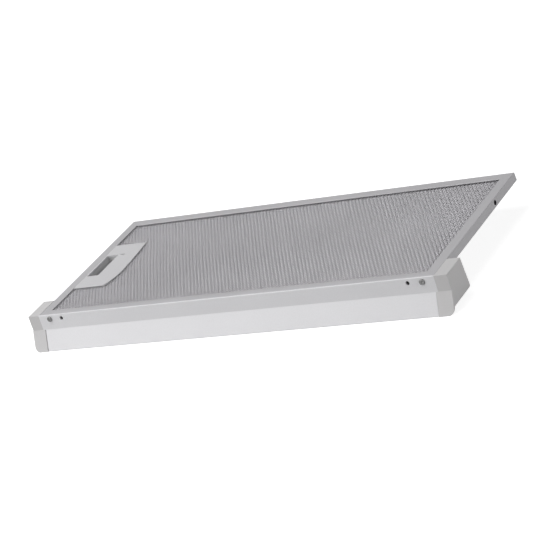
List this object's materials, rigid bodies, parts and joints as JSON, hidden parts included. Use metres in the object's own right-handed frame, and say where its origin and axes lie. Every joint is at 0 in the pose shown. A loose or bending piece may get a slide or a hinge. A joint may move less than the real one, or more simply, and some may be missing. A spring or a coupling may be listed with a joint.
{
  "type": "cooker hood grease filter",
  "caption": "Flat metal mesh grease filter for a pull-out cooker hood, with a sprung finger latch on one rim and a folded front bar with end caps.",
  "frame": {"origin": "centre of the bounding box at its lowest level, under the front bar's lower lip", "axes": "+X along the front bar, from the handle's side to the other; +Y from the bar to the rear; +Z out of the filter's handle face"},
  "size_m": [0.598, 0.248, 0.0438],
  "materials": {
    "frame_aluminium": "satin",
    "mesh_aluminium": "matte",
    "layer_aluminium": "matte",
    "key_nylon": "matte",
    "handle_plastic": "satin",
    "slide_plastic": "matte",
    "spring_steel": "bright",
    "screw_steel": "zinc plated",
    "bar_paint": "satin",
    "cap_plastic": "satin"
  },
  "bodies": {
    "filter": {"frame_rail_front": "frame_aluminium", "frame_rail_rear": "frame_aluminium", "frame_rail_left": "frame_aluminium", "frame_rail_right": "frame_aluminium", "corner_key_front_left": "key_nylon", "corner_key_front_right": "key_nylon", "corner_key_rear_left": "key_nylon", "corner_key_rear_right": "key_nylon", "mesh_top": "mesh_aluminium", "mesh_bottom": "mesh_aluminium", "filter_layer_1": "layer_aluminium", "filter_layer_2": "layer_aluminium", "filter_layer_3": "layer_aluminium", "filter_layer_4": "layer_aluminium", "filter_layer_5": "layer_aluminium", "handle_plate": "handle_plastic", "handle_back": "handle_plastic", "latch_spring_front": "spring_steel", "latch_spring_rear": "spring_steel", "handle_screws": "screw_steel", "front_bar": "bar_paint", "end_cap_left": "cap_plastic", "end_cap_right": "cap_plastic", "bar_screws": "screw_steel"},
    "latch": {"latch_slide": "slide_plastic"}
  },
  "joints": [
    {"name": "latch_release", "type": "slide", "parent": "filter", "child": "latch", "axis": [1, 0, 0], "range_m": [0, 0.005], "stiffness_N_per_m": 800, "springref_m": -0.004, "deforming": ["latch_spring_front", "latch_spring_rear"]}
  ]
}
